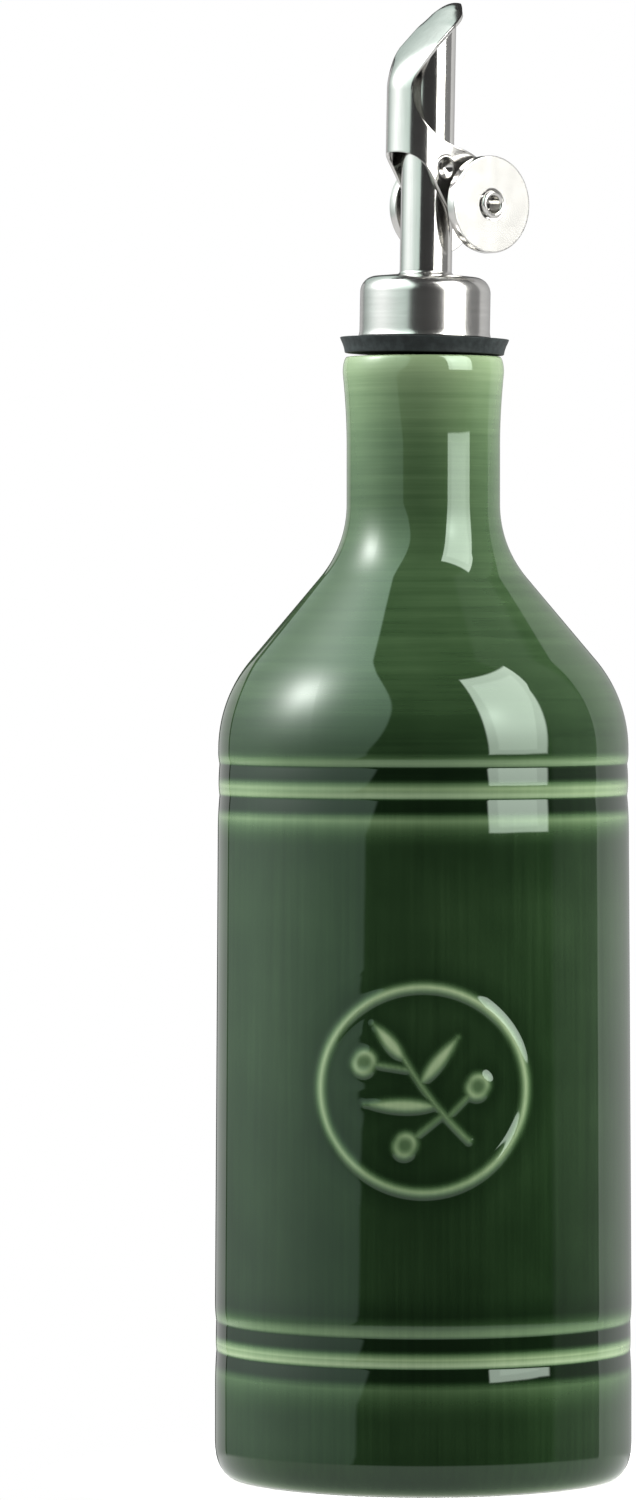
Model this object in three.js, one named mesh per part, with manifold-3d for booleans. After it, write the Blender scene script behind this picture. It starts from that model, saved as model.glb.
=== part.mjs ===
import * as THREE from "three";
import { mergeVertices } from "three/addons/utils/BufferGeometryUtils.js";
import Module from "manifold-3d";

const wasm = await Module();
wasm.setup();

// All lengths are in millimetres, +Z is up, and the raised medallion faces -Y.

// How many flat sides stand for each kind of round
const sides = {
  bottle: 40, ring: 36, ringSection: 6, ball: 8, ballRows: 5, stopper: 32, hole: 20, cone: 16, rivet: 18,
};

// Ceramic bottle
const baseRadius = 40.0;
const baseEdge = { across: 3.5, up: 6.3 };
const taperStart = 34;
const shoulderHeight = 139.5;
const shoulderRadius = 39.35;
const shoulderArc = 26.5;
const neckRadius = 14.7;
const neckArc = 22;
const neckStart = 186.5;
const neckFlareStart = 198;
const neckFlareEnd = 204;
const lipRadius = 15.45;
const lipEdge = { across: 0.8, down: 3.0 };
const bottleTop = 214.65;

// Two shallow turned bands. Each lists heights and how far the wall steps in there: a crest, a groove
// floor, a crest, a groove floor and a crest.
const bands = [
  [[17.2, 0], [24.2, 0.28], [25.8, 0.16], [29.9, 0.24], [33, 0]],
  [[124, 0], [130.7, 0.3], [133.1, 0.1], [136.7, 0.26], [138.8, 0]],
];
const bandSteps = 2;

// Raised medallion on the front of the bottle
const medallionHeight = 76.5;
const medallionRadius = 19.2;
const medallionWidth = 1.8;
const medallionRelief = 0.4;
const stemWidth = 1.1;
const leafWidth = 2.6;
const fruitLength = 5.4;
const fruitWidth = 4.6;

// Stopper: gasket, steel collar and spout tube. It sits a little askew in the neck.
const stopperLean = THREE.MathUtils.degToRad(1);
const leanHeight = 205;
const seat = 0.3;
const gasketBottom = 215.2;
const gasketTop = 218.2;
const gasketRadius = 16.2;
const gasketTaper = 0.4;
const gasketEdge = 0.3;
const collarBottom = gasketTop + seat;
const collarRadius = 12.5;
const collarTop = 230.0;
const collarRise = 0.4;
const collarEdge = { across: 3.0, down: 3.1 };
const collarFlare = { across: 0.2, up: 1.5 };
const tubeBottom = collarTop + collarRise + seat;
const tubeRadius = 5.0;
const tubeBore = 4.3;
const mouthHeight = 275.6;
const mouthSlope = THREE.MathUtils.degToRad(43);
const pourerYaw = THREE.MathUtils.degToRad(36);

// Weighted flap, in its own frame with the hinge at the origin
const hingeHeight = 250.7;
const sheet = 0.7;
const shellRadius = 6.1;
const shellBack = -8.5;
const backBottom = 2.8;
const backDrop = 5.6;
const shellCentre = shellBack + shellRadius;
const waistHeight = 15;
const notch = new THREE.QuadraticBezierCurve(corner(-6.9, waistHeight), corner(-6.9, 6), corner(3.9, 3.7));
const bend = new THREE.QuadraticBezierCurve(
  corner(shellBack, waistHeight), corner(shellBack, 18.59), corner(-4.5, 22.37));
const curl = new THREE.QuadraticBezierCurve(corner(4.1, 30.92), corner(7.6, 33.4), corner(7.4, 31.3));
const lidHalfWidth = 6.1;
const lidArc = 31;
const lidWidest = 0.44;
const tip = { start: 0.645, arc: 8, power: 2.4, roundness: 0.95, halfWidth: 0.4, skew: 1.8, skewPower: 0.8 };
const lidRows = 12;
const notchRows = 6;
const arm = { endRadius: 6.1, from: 214, to: 390, shoulder: corner(11.2, 1.4), overlap: 0.4 };
const boss = { reach: 4.5, tip: 1.2, root: 2.1, hole: 2.1 };
const dimple = { floor: 5.15, bottom: 0.9, mouth: 2.4 };
const overlap = 0.2;

// Round counterweights and the hollow rivets that hold them
const weight = { x: 7.8, z: -6.8, radius: 9.3, inner: 8.0, outer: 10.2, edge: 0.3, hole: 1.9 };
const rivet = { shank: 1.6, spacer: 2.9, head: 2.4, flange: 2.7, height: 0.6, bore: 1.3, depth: 2.6 };
const rivetGap = 0.25;

function toManifold(geometry) {
  const bare = geometry.index ? geometry.toNonIndexed() : geometry.clone();
  bare.deleteAttribute("normal");
  bare.deleteAttribute("uv");
  const merged = mergeVertices(bare, 1e-4);
  const corners = merged.index.array;
  const kept = [];
  for (let i = 0; i < corners.length; i += 3) {
    const [a, b, c] = corners.subarray(i, i + 3);
    if (a !== b && b !== c && c !== a) {
      kept.push(a, b, c);
    }
  }
  const mesh = new wasm.Mesh({
    numProp: 3,
    vertProperties: new Float32Array(merged.attributes.position.array),
    triVerts: new Uint32Array(kept),
  });
  return new wasm.Manifold(mesh);
}

function toGeometry(solid) {
  const mesh = solid.getMesh();
  const geometry = new THREE.BufferGeometry();
  geometry.setAttribute("position", new THREE.BufferAttribute(new Float32Array(mesh.vertProperties), 3));
  geometry.setIndex(new THREE.BufferAttribute(new Uint32Array(mesh.triVerts), 1));
  return geometry;
}

// Turns a radius/height outline about the Z axis.
function turned(points, segments) {
  const geometry = new THREE.LatheGeometry(points, segments);
  geometry.rotateX(Math.PI / 2);
  return geometry;
}

// Turns an outline about the hinge direction, reaching to one side of the spout.
function turnedSideways(points, segments, side) {
  const geometry = new THREE.LatheGeometry(points, segments);
  if (side < 0) {
    geometry.rotateZ(Math.PI);
  }
  return geometry;
}

function corner(x, y) {
  return new THREE.Vector2(x, y);
}

// How far the wall steps in at a height: round at the crests and sharp at the groove floors.
function bandStep(z) {
  for (const keys of bands) {
    for (let i = 0; i + 1 < keys.length; i += 1) {
      const [low, lowStep] = keys[i];
      const [high, highStep] = keys[i + 1];
      if (z >= low && z <= high) {
        const along = (z - low) / (high - low);
        const share = i % 2 === 0 ? along ** 2 : 1 - (1 - along) ** 2;
        return THREE.MathUtils.lerp(lowStep, highStep, share);
      }
    }
  }
  return 0;
}

function wallRadius(z) {
  const taper = THREE.MathUtils.clamp((z - taperStart) / (shoulderHeight - taperStart), 0, 1);
  return THREE.MathUtils.lerp(baseRadius, shoulderRadius, taper) - bandStep(z);
}

// Angle the round shoulder turns through before a straight slope leads into the hollow under the neck.
function shoulderTurn() {
  const across = neckRadius + neckArc - (shoulderRadius - shoulderArc);
  const up = neckStart - shoulderHeight;
  return Math.atan2(up, across) - Math.acos((shoulderArc + neckArc) / Math.hypot(across, up));
}

function bottleOutline() {
  const outline = new THREE.Path();
  outline.moveTo(0, 0);
  const foot = baseRadius - baseEdge.across;
  outline.lineTo(foot, 0);
  outline.absellipse(foot, baseEdge.up, baseEdge.across, baseEdge.up, -Math.PI / 2, 0, false, 0);
  for (const keys of bands) {
    for (let i = 0; i + 1 < keys.length; i += 1) {
      for (let j = 0; j < bandSteps; j += 1) {
        const z = THREE.MathUtils.lerp(keys[i][0], keys[i + 1][0], j / bandSteps);
        outline.lineTo(wallRadius(z), z);
      }
    }
    const top = keys.at(-1)[0];
    outline.lineTo(wallRadius(top), top);
  }
  const turn = shoulderTurn();
  outline.absarc(shoulderRadius - shoulderArc, shoulderHeight, shoulderArc, 0, turn, false);
  outline.absarc(neckRadius + neckArc, neckStart, neckArc, turn - Math.PI, -Math.PI, true);
  outline.lineTo(neckRadius, neckFlareStart);
  const { across, down } = lipEdge;
  outline.quadraticCurveTo(neckRadius, neckFlareEnd, lipRadius, bottleTop - down);
  outline.absellipse(lipRadius - across, bottleTop - down, across, down, 0, Math.PI / 2, false, 0);
  outline.lineTo(0, bottleTop);
  return outline.getPoints(2);
}

// Lays a flat ornament, drawn in X and Z round its own centre, onto the curved wall.
function laidOnWall(geometry) {
  const place = geometry.attributes.position;
  for (let i = 0; i < place.count; i += 1) {
    const x = place.getX(i);
    const radius = wallRadius(medallionHeight);
    place.setY(i, place.getY(i) - Math.sqrt(radius * radius - x * x));
    place.setZ(i, place.getZ(i) + medallionHeight);
  }
  return toManifold(geometry);
}

function medallionRing() {
  const ring = new THREE.TorusGeometry(medallionRadius, medallionWidth / 2, sides.ringSection, sides.ring);
  ring.rotateX(Math.PI / 2);
  ring.scale(1, (2 * medallionRelief) / medallionWidth, 1);
  return laidOnWall(ring);
}

// A leaf, an olive or a bit of stem: a flattened ball, turned in the plane of the medallion.
function ornament(x, z, length, width, degrees) {
  const ball = new THREE.SphereGeometry(1, sides.ball, sides.ballRows);
  ball.rotateX(Math.PI / 2);
  ball.scale(length / 2, medallionRelief, width / 2);
  ball.rotateY(-THREE.MathUtils.degToRad(degrees));
  ball.translate(x, 0, z);
  return laidOnWall(ball);
}

// A strip of ornament between two points of the medallion.
function stroke(from, to, width) {
  const length = from.distanceTo(to);
  const degrees = THREE.MathUtils.radToDeg(Math.atan2(to.y - from.y, to.x - from.x));
  return ornament((from.x + to.x) / 2, (from.y + to.y) / 2, length, width, degrees);
}

// An olive sprig: a slanting stem with narrow leaves, and fruits on short stalks.
function oliveSprig() {
  const stem = new THREE.QuadraticBezierCurve(corner(8.5, -9.5), corner(1.5, -3), corner(-4, 6.5));
  const pieces = [];
  for (const start of [0, 0.3, 0.6]) {
    pieces.push(stroke(stem.getPoint(start), stem.getPoint(start + 0.4), stemWidth));
  }
  for (const [along, x, z] of [[0.95, -9.3, 12.3], [0.45, -11, -2.8], [0.7, 6.5, 9.8]]) {
    pieces.push(stroke(stem.getPoint(along), corner(x, z), leafWidth));
  }
  for (const [along, x, z] of [[0.3, 10.2, 0.6], [0.35, -3.4, -10.4], [0.85, -11, 5]]) {
    const fruit = corner(x, z);
    pieces.push(stroke(stem.getPoint(along), fruit, stemWidth));
    pieces.push(ornament(x, z, fruitLength, fruitWidth, 60));
  }
  return pieces;
}

function bottle() {
  let solid = toManifold(turned(bottleOutline(), sides.bottle));
  for (const piece of [medallionRing(), ...oliveSprig()]) {
    solid = solid.add(piece);
  }
  return toGeometry(solid);
}

function gasket() {
  const points = [
    corner(0, gasketBottom),
    corner(gasketRadius - gasketTaper - gasketEdge, gasketBottom),
    corner(gasketRadius - gasketTaper, gasketBottom + gasketEdge),
    corner(gasketRadius, gasketTop - gasketEdge),
    corner(gasketRadius - gasketEdge, gasketTop),
    corner(0, gasketTop),
  ];
  return turned(points, sides.stopper);
}

function collar() {
  const outline = new THREE.Path();
  outline.moveTo(0, collarBottom);
  outline.lineTo(collarRadius + collarFlare.across, collarBottom);
  outline.lineTo(collarRadius, collarBottom + collarFlare.up);
  const { across, down } = collarEdge;
  outline.absellipse(collarRadius - across, collarTop - down, across, down, 0, Math.PI / 2, false, 0);
  outline.lineTo(tubeRadius, collarTop + collarRise);
  outline.lineTo(0, collarTop + collarRise);
  return turned(outline.getPoints(3), sides.stopper);
}

function spout() {
  const uncut = mouthHeight + 2 * tubeRadius;
  const points = [
    corner(tubeBore, tubeBottom),
    corner(tubeRadius, tubeBottom),
    corner(tubeRadius, uncut),
    corner(tubeBore, uncut),
    corner(tubeBore, tubeBottom),
  ];
  const blank = toManifold(turned(points, sides.stopper));
  const cut = 8 * tubeRadius;
  const above = new THREE.BoxGeometry(cut, cut, cut);
  above.translate(0, 0, cut / 2);
  above.rotateY(-mouthSlope);
  above.translate(0, 0, mouthHeight);
  const hinge = new THREE.CylinderGeometry(boss.hole, boss.hole, 4 * tubeRadius, sides.hole);
  hinge.translate(0, 0, hingeHeight);
  return toGeometry(blank.subtract(toManifold(above)).subtract(toManifold(hinge)));
}

// Place along the notch where the flap's round back goes over into its flat arms.
function notchJoin() {
  const { v0, v1, v2 } = notch;
  const bent = v0.x - 2 * v1.x + v2.x;
  const lean = v1.x - v0.x;
  return (Math.sqrt(lean * lean + bent * (shellCentre - v0.x)) - lean) / bent;
}

// Middle line of the lid, from the round back to the tip.
function lidLine() {
  const line = new THREE.CurvePath();
  for (const stretch of [bend, new THREE.LineCurve(bend.v2, curl.v0), curl]) {
    line.add(stretch);
  }
  return line;
}

// Rows of the flap's curved back, from its lower edge to the tip of the lid. Each row gives the
// outer line's place and heading, its bending radius, its opening and how far it is off the middle.
function flapRows() {
  const rows = [];
  const up = corner(0, 1);
  const joined = notchJoin();
  for (let i = 0; i <= notchRows; i += 1) {
    const edge = notch.getPoint(joined * (1 - i / notchRows));
    const opening = Math.acos((shellCentre - edge.x) / shellRadius);
    rows.push({ point: corner(shellBack, edge.y), heading: up, radius: shellRadius, opening, skew: 0 });
  }
  const waist = shellRadius * Math.sin(rows.at(-1).opening);
  const line = lidLine();
  for (let i = 1; i <= lidRows; i += 1) {
    const along = Math.sin((i / lidRows) * (Math.PI / 2));
    const widening = THREE.MathUtils.smoothstep(along, 0, lidWidest);
    const past = Math.max(0, (along - tip.start) / (1 - tip.start));
    const lidBow = THREE.MathUtils.lerp(1 / lidArc, 1 / tip.arc, past);
    const radius = 1 / THREE.MathUtils.lerp(1 / shellRadius, lidBow, widening);
    const round = (1 - past ** tip.power) ** tip.roundness;
    const wide = THREE.MathUtils.lerp(waist, lidHalfWidth, widening) * round;
    const opening = Math.asin(Math.max(wide, tip.halfWidth) / radius);
    const skew = tip.skew * past ** tip.skewPower;
    rows.push({ point: line.getPoint(along), heading: line.getTangent(along), radius, opening, skew });
  }
  return rows;
}

// One point of a row: the angle runs round the bend, the depth goes in from the outer face.
function rowPoint(row, angle, depth) {
  const inward = row.radius - (row.radius - depth) * Math.cos(angle);
  return new THREE.Vector3(
    row.point.x + row.heading.y * inward,
    (row.radius - depth) * Math.sin(angle) + row.skew,
    row.point.y - row.heading.x * inward);
}

// A closed sheet: the outer and inner faces are grids of points, stitched along all four edges.
function sheetSolid(outer, inner) {
  const rows = outer.length;
  const columns = outer[0].length;
  const points = [...outer.flat(), ...inner.flat()];
  const faces = [];
  const quad = (a, b, c, d) => faces.push(a, b, c, a, c, d);
  const front = (i, j) => i * columns + j;
  const back = (i, j) => rows * columns + front(i, j);
  for (let i = 0; i + 1 < rows; i += 1) {
    for (let j = 0; j + 1 < columns; j += 1) {
      quad(front(i, j), front(i + 1, j), front(i + 1, j + 1), front(i, j + 1));
      quad(back(i, j), back(i, j + 1), back(i + 1, j + 1), back(i + 1, j));
    }
    quad(front(i, 0), back(i, 0), back(i + 1, 0), front(i + 1, 0));
    const last = columns - 1;
    quad(front(i, last), front(i + 1, last), back(i + 1, last), back(i, last));
  }
  for (let j = 0; j + 1 < columns; j += 1) {
    const last = rows - 1;
    quad(front(0, j), front(0, j + 1), back(0, j + 1), back(0, j));
    quad(front(last, j), back(last, j), back(last, j + 1), front(last, j + 1));
  }
  const geometry = new THREE.BufferGeometry().setFromPoints(points);
  geometry.setIndex(faces);
  return toManifold(geometry);
}

function flapBack() {
  const columns = 11;
  const angles = Array.from({ length: columns }, (_, j) => (2 * j) / (columns - 1) - 1);
  const rows = flapRows();
  const face = (depth) => {
    const grid = rows.map((row) => angles.map((share) => rowPoint(row, share * row.opening, depth)));
    const lowest = angles.map((share) => {
      const point = rowPoint(rows[0], share * rows[0].opening, depth);
      point.z = backBottom - backDrop * Math.abs(share) ** 3;
      return point;
    });
    return [lowest, ...grid];
  };
  return sheetSolid(face(0), face(sheet));
}

// Blunt cone on the hinge line, from a small flat end near the spout to a wider one outside it.
function pressedCone(innerRadius, innerReach, outerRadius, outerReach, side) {
  const points = [
    corner(0, innerReach),
    corner(innerRadius, innerReach),
    corner(outerRadius, outerReach),
    corner(0, outerReach),
  ];
  return toManifold(turnedSideways(points, sides.cone, side));
}

// Flat arm beside the spout: it carries the pressed hinge boss and ends round the rivet.
function flapArm(side) {
  const joined = notchJoin();
  const heel = shellCentre - arm.overlap;
  const lowest = backBottom - backDrop;
  const shape = new THREE.Shape();
  shape.moveTo(heel, notch.getPoint(joined).y - overlap);
  shape.lineTo(heel, lowest + 2 * arm.overlap);
  shape.lineTo(shellCentre, lowest);
  const from = THREE.MathUtils.degToRad(arm.from);
  const to = THREE.MathUtils.degToRad(arm.to);
  shape.absarc(weight.x, weight.z, arm.endRadius, from, to, false);
  shape.quadraticCurveTo(arm.shoulder.x, arm.shoulder.y, notch.v2.x, notch.v2.y);
  for (let i = 1; i <= notchRows; i += 1) {
    const edge = notch.getPoint(THREE.MathUtils.lerp(1, joined, i / notchRows));
    shape.lineTo(edge.x, edge.y);
  }
  const plate = new THREE.ExtrudeGeometry(shape, { depth: sheet, bevelEnabled: false, curveSegments: 10 });
  plate.rotateX(Math.PI / 2);
  plate.translate(0, side < 0 ? sheet - shellRadius : shellRadius, 0);

  const hole = new THREE.CylinderGeometry(weight.hole, weight.hole, 4 * sheet, sides.cone);
  hole.translate(weight.x, side * shellRadius, weight.z);
  return toManifold(plate)
    .add(pressedCone(boss.tip, boss.reach, boss.root, shellRadius - sheet + overlap, side))
    .subtract(pressedCone(dimple.bottom, dimple.floor, dimple.mouth, shellRadius + overlap, side))
    .subtract(toManifold(hole));
}

function flap() {
  return toGeometry(flapBack().add(flapArm(-1)).add(flapArm(1)));
}

function counterweight(side) {
  const points = [
    corner(weight.hole, weight.inner),
    corner(weight.radius - weight.edge, weight.inner),
    corner(weight.radius, weight.inner + weight.edge),
    corner(weight.radius, weight.outer - weight.edge),
    corner(weight.radius - weight.edge, weight.outer),
    corner(weight.hole, weight.outer),
    corner(weight.hole, weight.inner),
  ];
  return turnedSideways(points, sides.stopper, side).translate(weight.x, 0, weight.z);
}

// Hollow rivet: head inside the arm, spacer between arm and weight, cupped flange outside.
function tubeRivet(side) {
  const armInner = shellRadius - sheet - rivetGap;
  const top = weight.outer + rivetGap + rivet.height;
  const points = [
    corner(0, armInner - sheet),
    corner(rivet.head, armInner - sheet),
    corner(rivet.head, armInner),
    corner(rivet.shank, armInner),
    corner(rivet.shank, shellRadius + rivetGap),
    corner(rivet.spacer, shellRadius + rivetGap),
    corner(rivet.spacer, weight.inner - rivetGap),
    corner(rivet.shank, weight.inner - rivetGap),
    corner(rivet.shank, weight.outer + rivetGap),
    corner(rivet.flange, weight.outer + rivetGap),
    corner((rivet.flange + rivet.bore) / 2, top),
    corner(rivet.bore, top - rivet.height / 2),
    corner(rivet.bore, top - rivet.depth),
    corner(0, top - rivet.depth),
  ];
  return turnedSideways(points, sides.rivet, side).translate(weight.x, 0, weight.z);
}

function steel(roughness) {
  return new THREE.MeshStandardMaterial({ color: 0xc9c9c6, roughness, metalness: 1 });
}

function named(name, geometry, material) {
  const mesh = new THREE.Mesh(geometry, material);
  mesh.name = name;
  return mesh;
}

const glaze = new THREE.MeshStandardMaterial({ color: 0x2b4a25, roughness: 0.12, metalness: 0 });
const rubber = new THREE.MeshStandardMaterial({ color: 0x2c3232, roughness: 0.6, metalness: 0 });

const swinging = new THREE.Group();
swinging.position.z = hingeHeight;
swinging.add(named("flap_shell", flap(), steel(0.12)));
swinging.add(named("weight_front", counterweight(-1), steel(0.15)));
swinging.add(named("weight_back", counterweight(1), steel(0.15)));
swinging.add(named("rivet_front", tubeRivet(-1), steel(0.18)));
swinging.add(named("rivet_back", tubeRivet(1), steel(0.18)));

const pourer = new THREE.Group();
pourer.rotation.z = pourerYaw;
pourer.add(named("spout_tube", spout(), steel(0.12)));
pourer.add(swinging);

const upright = new THREE.Group();
upright.position.z = -leanHeight;
upright.add(named("gasket", gasket(), rubber));
upright.add(named("collar", collar(), steel(0.1)));
upright.add(pourer);

const stopper = new THREE.Group();
stopper.position.z = leanHeight;
stopper.rotation.y = stopperLean;
stopper.add(upright);

const dispenser = new THREE.Group();
dispenser.name = "ceramic_oil_dispenser";
dispenser.add(named("bottle", bottle(), glaze));
dispenser.add(stopper);

export default dispenser;
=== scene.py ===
from math import acos, cos, pi, radians, sin

import bpy
import numpy as np
from mathutils import Matrix, Vector


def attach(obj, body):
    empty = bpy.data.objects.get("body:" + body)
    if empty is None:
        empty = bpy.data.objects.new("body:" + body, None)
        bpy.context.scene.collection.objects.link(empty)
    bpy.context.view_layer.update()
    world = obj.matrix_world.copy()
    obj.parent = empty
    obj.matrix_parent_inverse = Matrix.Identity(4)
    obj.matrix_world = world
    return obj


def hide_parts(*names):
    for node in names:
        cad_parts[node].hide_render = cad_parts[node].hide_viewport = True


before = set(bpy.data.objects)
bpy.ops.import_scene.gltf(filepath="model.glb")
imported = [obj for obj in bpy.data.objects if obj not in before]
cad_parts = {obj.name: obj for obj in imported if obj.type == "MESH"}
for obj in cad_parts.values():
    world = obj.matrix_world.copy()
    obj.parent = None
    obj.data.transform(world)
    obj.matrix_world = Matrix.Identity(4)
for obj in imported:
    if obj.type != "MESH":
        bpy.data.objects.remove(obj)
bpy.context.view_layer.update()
print("frame loaded:", ", ".join(sorted(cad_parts)))


# Number helpers

def ease(low, high, value):                         # 0 below low, 1 above high, smooth between
    share = np.clip((value - low) / (high - low), 0, 1)
    return share * share * (3 - 2 * share)


def arc(centre, radii, start, end, count):          # round stretch of an outline, angles in degrees
    turns = np.radians(np.linspace(start, end, count))
    return [(centre[0] + radii[0] * cos(a), centre[1] + radii[1] * sin(a)) for a in turns]


def bezier(corners, share):                         # point of a curve with any number of corners
    corners = [Vector(c) for c in corners]
    while len(corners) > 1:
        corners = [a.lerp(b, share) for a, b in zip(corners, corners[1:])]
    return corners[0]


# Modelling helpers

mergeGap = 5e-6                                     # points nearer than this become one


def drawOutline(name, outline, azimuth=-pi / 2):    # one vertex, extruded along radius/height points
    bpy.ops.object.select_all(action="DESELECT")
    bpy.ops.mesh.primitive_plane_add(size=0.01)
    piece = bpy.context.object
    piece.name = name
    piece.data.name = name
    bpy.ops.object.mode_set(mode="EDIT")
    bpy.ops.mesh.select_mode(type="VERT")
    bpy.ops.mesh.select_all(action="SELECT")
    bpy.ops.mesh.merge(type="CENTER")
    places = [Vector((r * cos(azimuth), r * sin(azimuth), z)) for r, z in outline]
    bpy.ops.transform.translate(value=places[0])
    for before, after in zip(places, places[1:]):
        bpy.ops.mesh.extrude_region_move(TRANSFORM_OT_translate={"value": after - before})
    bpy.ops.mesh.select_all(action="SELECT")
    return piece


def spinRound(*sectors):                            # each sector is an angle and its number of steps
    for angle, steps in sectors:
        bpy.ops.mesh.spin(steps=steps, angle=angle, center=(0, 0, 0), axis=(0, 0, 1))
    bpy.ops.mesh.select_all(action="SELECT")
    bpy.ops.mesh.remove_doubles(threshold=mergeGap)
    bpy.ops.mesh.normals_make_consistent(inside=False)
    bpy.ops.object.mode_set(mode="OBJECT")


def applyModifier(piece, kind, **settings):
    made = piece.modifiers.new(kind.title(), kind)
    for key, value in settings.items():
        setattr(made, key, value)
    bpy.ops.object.modifier_apply(modifier=made.name)


def roundEdges(piece, width, segments, angle):      # rounds the edges that turn by more than an angle
    sharp = {"limit_method": "ANGLE", "angle_limit": radians(angle)}
    applyModifier(piece, "BEVEL", width=width, segments=segments, **sharp)


def selectFaces(piece, wanted):                     # wanted looks at a face's normal and middle
    bpy.ops.object.mode_set(mode="EDIT")
    bpy.ops.mesh.select_mode(type="FACE")
    bpy.ops.mesh.select_all(action="DESELECT")
    bpy.ops.object.mode_set(mode="OBJECT")
    for face in piece.data.polygons:
        face.select = wanted(face)
    bpy.ops.object.mode_set(mode="EDIT")


def settle(piece, place):                           # moves a piece made at the origin, place in its mesh
    piece.matrix_world = place
    bpy.ops.object.transform_apply(location=True, rotation=True, scale=True)


def finishPiece(piece, node, body, finish, angle=40):
    bpy.ops.object.shade_smooth_by_angle(angle=radians(angle))
    piece.data.materials.clear()
    piece.data.materials.append(finish)
    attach(piece, body)
    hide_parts(node)
    print("made", piece.name, "with", len(piece.data.polygons), "faces")


# Shader helper: a socket that can be used in sums

class Wire:
    def __init__(self, tree, socket=None):
        self.tree = tree
        self.socket = socket

    def add(self, kind, settings, sockets, output=0):
        made = self.tree.nodes.new(kind)
        for key, value in settings.items():
            setattr(made, key, value)
        for key, value in sockets.items():
            if isinstance(value, Wire):
                self.tree.links.new(value.socket, made.inputs[key])
            else:
                made.inputs[key].default_value = value
        return Wire(self.tree, made.outputs[output])

    def math(self, operation, *values):
        return self.add("ShaderNodeMath", {"operation": operation}, dict(enumerate(values)))

    def __add__(self, other):
        return self.math("ADD", self, other)

    def __radd__(self, other):
        return self.math("ADD", other, self)

    def __sub__(self, other):
        return self.math("SUBTRACT", self, other)

    def __rsub__(self, other):
        return self.math("SUBTRACT", other, self)

    def __mul__(self, other):
        return self.math("MULTIPLY", self, other)

    def __rmul__(self, other):
        return self.math("MULTIPLY", other, self)

    def __neg__(self):
        return self.math("MULTIPLY", self, -1.0)

    def rise(self, low, high):                      # smooth step from 0 at low to 1 at high
        values = {"Value": self, "From Min": low, "From Max": high}
        return self.add("ShaderNodeMapRange", {"interpolation_type": "SMOOTHSTEP"}, values)

    def stretch(self, scale):                       # vector times a fixed vector
        return self.add("ShaderNodeVectorMath", {"operation": "MULTIPLY"}, {0: self, 1: scale})

    def noise(self, scale, detail=2.0, roughness=0.5):
        values = {"Vector": self, "Scale": scale, "Detail": detail, "Roughness": roughness}
        return self.add("ShaderNodeTexNoise", {}, values)

    def part(self, axis):
        return self.add("ShaderNodeSeparateXYZ", {}, {"Vector": self}, axis)

    def mix(self, first, second):                   # two colours by this value
        sockets = {0: self, 6: (*first, 1.0), 7: (*second, 1.0)}
        return self.add("ShaderNodeMix", {"data_type": "RGBA"}, sockets, 2)

    def bump(self, strength, distance):
        sockets = {"Height": self, "Strength": strength, "Distance": distance}
        return self.add("ShaderNodeBump", {}, sockets)


def newFinish(name, **fixed):                       # a material, its shader and its object coordinates
    finish = bpy.data.materials.new(name)
    finish.use_nodes = True
    shader = finish.node_tree.nodes["Principled BSDF"]
    for key, value in fixed.items():
        shader.inputs[key.replace("_", " ")].default_value = value
    start = Wire(finish.node_tree)
    place = start.add("ShaderNodeTexCoord", {}, {}, "Object")
    return finish, shader, place


def feed(shader, **wires):
    for key, wire in wires.items():
        wire.tree.links.new(wire.socket, shader.inputs[key.replace("_", " ")])


# Glaze: a green glass coat over pale clay, lighter where it is thin

glaze = {
    "clay": (0.78, 0.72, 0.56),
    "absorb": (4.75, 3.82, 4.63),                   # per unit of glaze thickness
    "roughness": 0.03, "roughnessSpread": 0.016, "roughnessScale": 90.0,
    "turningLines": 0.16, "lineGrain": (18, 18, 900),  # share of thickness, on the neck and shoulder
    "turningHeight": (0.120, 0.150),                # where the lines take over from the runs
    "runs": 0.11, "runGrain": (900, 900, 18),       # share of thickness, down the body
    "clouds": 0.12, "cloudScale": 55.0,
    "rippleGrain": (1, 1, 0.6), "rippleScale": 70.0, "ripple": {"strength": 0.008, "distance": 0.004},
}


def glazeFinish():
    finish, shader, place = newFinish("greenGlaze", IOR=1.52, Specular_Tint=(0.82, 1.0, 0.86, 1.0))
    # the stored depth is glaze thickness, partly painted shade: in the band grooves and in the line above
    # the foot
    depth = place.add("ShaderNodeAttribute", {"attribute_name": "glazeDepthAndShade"}, {}, "Fac")
    upper = place.part(2).rise(*glaze["turningHeight"])
    lines = place.stretch(glaze["lineGrain"]).noise(1.0, 4.0, 0.7) - 0.5
    runs = place.stretch(glaze["runGrain"]).noise(1.0, 4.0, 0.7) - 0.5
    clouds = place.noise(glaze["cloudScale"], 3.0) - 0.5
    uneven = lines * upper * (2 * glaze["turningLines"]) + runs * (1 - upper) * (2 * glaze["runs"])
    thickness = depth * (1 + uneven + clouds * (2 * glaze["clouds"]))
    shades = []
    for clay, absorb in zip(glaze["clay"], glaze["absorb"]):
        shades.append(place.math("EXPONENT", thickness * -absorb) * clay)
    colour = place.add("ShaderNodeCombineColor", {}, dict(enumerate(shades)))
    roughness = place.noise(glaze["roughnessScale"], 3.0) * glaze["roughnessSpread"]
    roughness = roughness + (glaze["roughness"] - glaze["roughnessSpread"] / 2)
    ripple = place.stretch(glaze["rippleGrain"]).noise(glaze["rippleScale"]).bump(**glaze["ripple"])
    feed(shader, Base_Color=colour, Roughness=roughness, Normal=ripple)
    return finish


# Steel: polished sheet and turned pieces

steel = {
    "light": (0.63, 0.622, 0.602),
    "dark": (0.56, 0.552, 0.533),
    "gritScale": 2600.0, "cloudScale": 160.0, "bumpDistance": 0.0002,
}


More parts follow.
